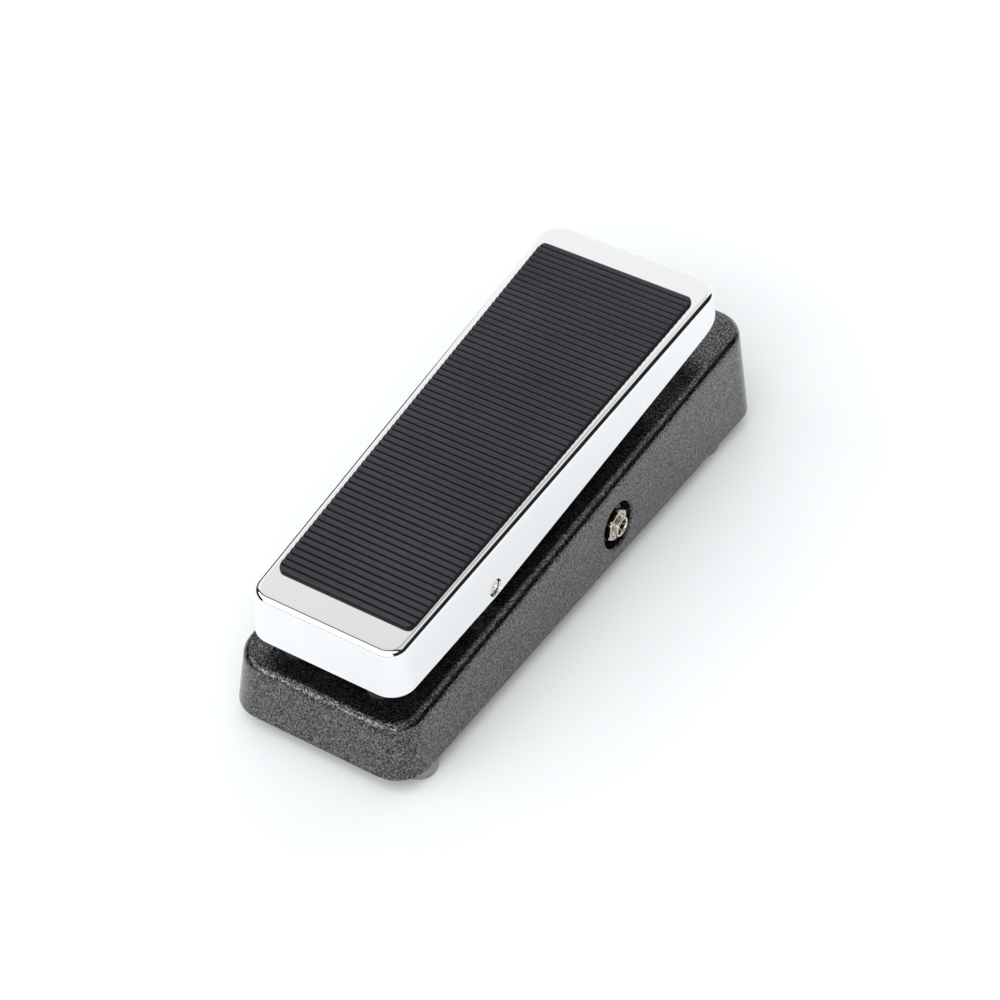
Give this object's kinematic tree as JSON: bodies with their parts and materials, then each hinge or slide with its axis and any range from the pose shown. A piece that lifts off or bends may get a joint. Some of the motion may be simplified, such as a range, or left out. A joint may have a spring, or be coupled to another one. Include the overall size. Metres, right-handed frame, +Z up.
{
  "type": "guitar effects pedal",
  "caption": "Rocker treadle effects pedal: chromed ribbed treadle on a cross axle over a black cast housing, rack and pinion to a pot, toe footswitch, side jacks.",
  "frame": {"origin": "on the floor under the middle of the housing, on the mirror plane", "axes": "+Y from heel to toe, +X to the player's right (input jack side), +Z up"},
  "size_m": [0.1008, 0.252, 0.0794],
  "materials": {
    "housing_enamel": "fine hammered black enamel, semi-gloss",
    "cover_steel": "satin black sheet steel",
    "foot_rubber": "matt grey rubber",
    "zinc_screw": "zinc plated",
    "bumper_rubber": "matt black rubber",
    "nylon": "natural nylon",
    "switch_case": "moulded blue phenolic",
    "nickel": "nickel plated",
    "tinned_lug": "tinned",
    "bracket_steel": "bright zinc sheet steel",
    "phenolic": "brown laminate",
    "brass": "turned",
    "shaft_steel": "ground bright steel",
    "spring_steel": "black oxide",
    "board_green": "solder mask",
    "resistor_body": "tan lacquer with colour bands",
    "film_cap_body": "dipped film",
    "electrolytic_sleeve": "blue sleeve",
    "black_plastic": "moulded",
    "inductor_shell": "red shell",
    "battery_label": "printed jacket, no lettering",
    "red_wire": "insulated lead",
    "black_wire": "insulated lead",
    "treadle_chrome": "mirror chrome plate",
    "mat_rubber": "ribbed charcoal rubber"
  },
  "bodies": {
    "base": {"base_housing": "housing_enamel", "battery_case": "battery_label", "battery_lead_black": "black_wire", "battery_lead_red": "red_wire", "battery_snap": "black_plastic", "battery_strap": "bracket_steel", "board_screws": "zinc_screw", "bottom_plate": "cover_steel", "bracket_screws": "zinc_screw", "brake_block": "nylon", "brake_clamp_nut": "zinc_screw", "brake_clamp_screw": "zinc_screw", "circuit_board": "board_green", "electrolytic_capacitors": "electrolytic_sleeve", "film_capacitors": "film_cap_body", "foot_heel_left": "foot_rubber", "foot_heel_right": "foot_rubber", "foot_screws": "zinc_screw", "foot_toe_left": "foot_rubber", "foot_toe_right": "foot_rubber", "footswitch_bushing": "nickel", "footswitch_case": "switch_case", "footswitch_lugs": "tinned_lug", "footswitch_nuts": "nickel", "footswitch_washer": "nickel", "heel_bumpers": "bumper_rubber", "inductor": "inductor_shell", "input_jack_bushing": "nickel", "input_jack_contacts": "tinned_lug", "input_jack_frame": "bracket_steel", "input_jack_insulator": "phenolic", "input_jack_nut": "nickel", "input_jack_washer": "nickel", "output_jack_bushing": "nickel", "output_jack_contacts": "tinned_lug", "output_jack_frame": "bracket_steel", "output_jack_insulator": "phenolic", "output_jack_nut": "nickel", "output_jack_washer": "nickel", "pivot_bush_left": "nylon", "pivot_bush_right": "nylon", "pot_bracket": "bracket_steel", "pot_bushing": "brass", "pot_can": "bracket_steel", "pot_nut": "nickel", "pot_wafer": "phenolic", "pot_washer": "nickel", "resistors": "resistor_body", "transistors": "black_plastic"},
    "treadle": {"treadle_plate": "treadle_chrome", "treadle_mat": "mat_rubber", "pivot_axle": "shaft_steel", "axle_clips": "spring_steel", "toe_pad": "bumper_rubber", "rack_pin": "shaft_steel", "rack_pin_clip": "spring_steel"},
    "rack": {"rack_bar": "nylon"},
    "wiper": {"pot_shaft": "shaft_steel", "pinion_gear": "nylon"},
    "plunger": {"footswitch_plunger": "nickel"}
  },
  "joints": [
    {"name": "treadle_rock", "type": "hinge", "parent": "base", "child": "treadle", "pos_m": [0, -0.0585, 0.0494], "axis": [-1, 0, 0], "range_deg": [-6.5, 4]},
    {"name": "rack_link", "type": "hinge", "parent": "treadle", "child": "rack", "pos_m": [-0.0013, -0.003, 0.0471], "axis": [-1, 0, 0], "range_deg": [-4.2, 6.7]},
    {"name": "wiper_spin", "type": "hinge", "parent": "base", "child": "wiper", "pos_m": [0.0071, -0.0225, 0.0245], "axis": [0, -1, 0], "range_deg": [-66, 41]},
    {"name": "switch_press", "type": "slide", "parent": "base", "child": "plunger", "axis": [0, 0, -1], "range_m": [0, 0.0026], "stiffness_N_per_m": 2500, "springref_m": -0.003}
  ],
  "couplings": [
    {"joint": "rack_link", "follows": "treadle_rock", "ratio": -1},
    {"joint": "wiper_spin", "follows": "treadle_rock", "ratio": 9.902}
  ]
}
